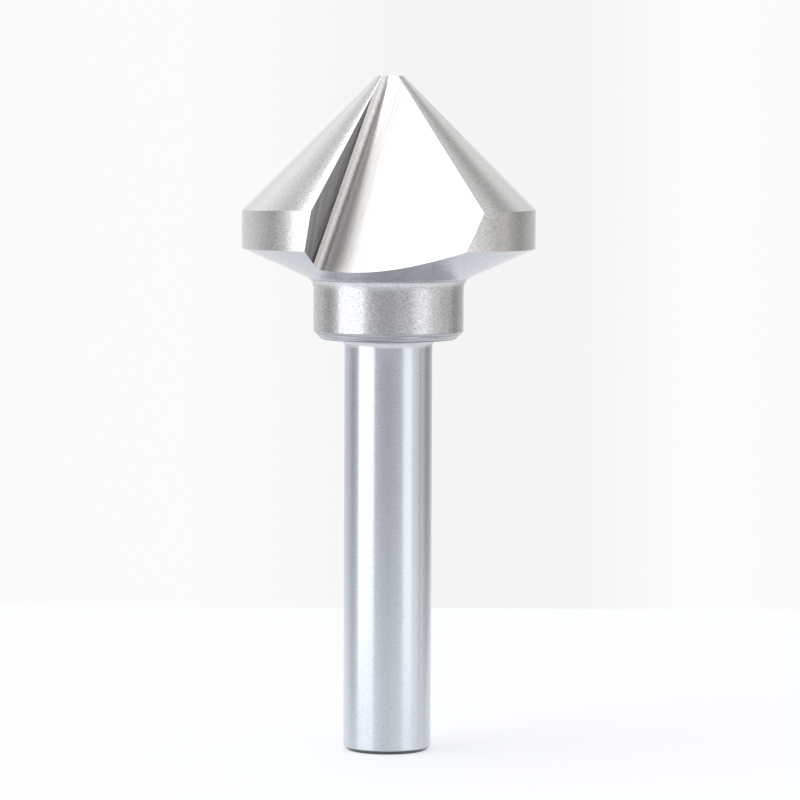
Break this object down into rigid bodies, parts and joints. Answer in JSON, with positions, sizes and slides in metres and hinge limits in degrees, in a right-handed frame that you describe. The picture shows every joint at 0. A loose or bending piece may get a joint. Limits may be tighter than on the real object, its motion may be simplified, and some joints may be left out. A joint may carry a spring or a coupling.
{
  "type": "chamfer milling cutter",
  "caption": "One-piece chamfer milling cutter: a wide conical head with straight ground flutes and a cylindrical band, a back taper, a collar and a plain round shank.",
  "frame": {"origin": "centre of the shank's flat end face, on the tool's axis", "axes": "+Z along the tool's axis from the shank end to the cutting tip; -Y faces the camera of the picture, +X is to its right"},
  "size_m": [0.04, 0.0372, 0.0922],
  "materials": {
    "ground_steel": "bright ground high-speed steel: fine circular grain on the turned and cylindrical faces, mirror-like flutes"
  },
  "bodies": {
    "root": {"cutter_body": "ground_steel"}
  },
  "joints": []
}
